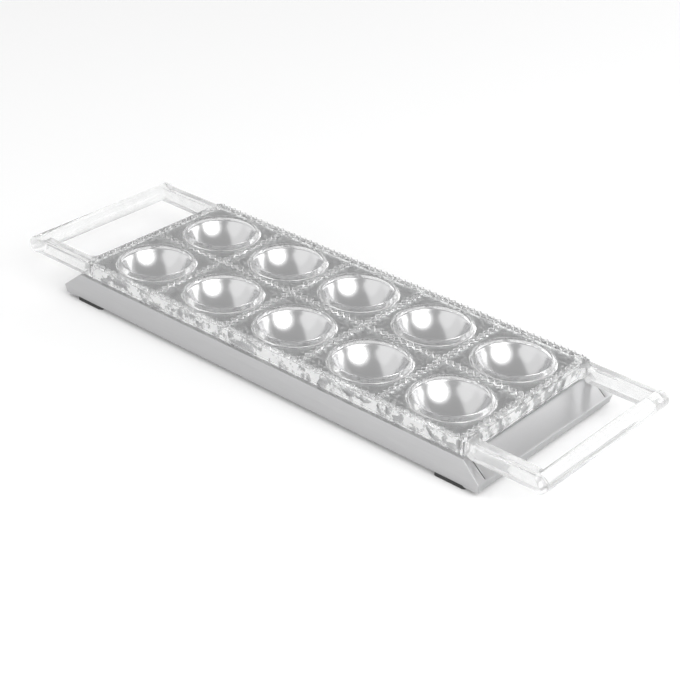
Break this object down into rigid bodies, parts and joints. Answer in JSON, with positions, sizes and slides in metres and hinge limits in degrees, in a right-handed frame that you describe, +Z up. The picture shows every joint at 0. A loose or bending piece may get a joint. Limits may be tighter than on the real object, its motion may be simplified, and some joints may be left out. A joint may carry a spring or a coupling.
{
  "type": "ravioli mould",
  "caption": "Pressed metal tray with two rows of round bowls, under a clear cutting frame with serrated ridges and a bar handle at each end.",
  "frame": {"origin": "middle of the mould's base, on the table", "axes": "+Z up, +X along the columns of bowls from handle to handle, +Y across the two rows"},
  "size_m": [0.3334, 0.1064, 0.0238],
  "materials": {
    "aluminium": "satin",
    "clear_plastic": "gloss",
    "rubber": "matte"
  },
  "bodies": {
    "root": {"base_tray": "aluminium", "cutting_frame": "clear_plastic", "foot_front_left": "rubber", "foot_back_left": "rubber", "foot_front_right": "rubber", "foot_back_right": "rubber"}
  },
  "joints": []
}
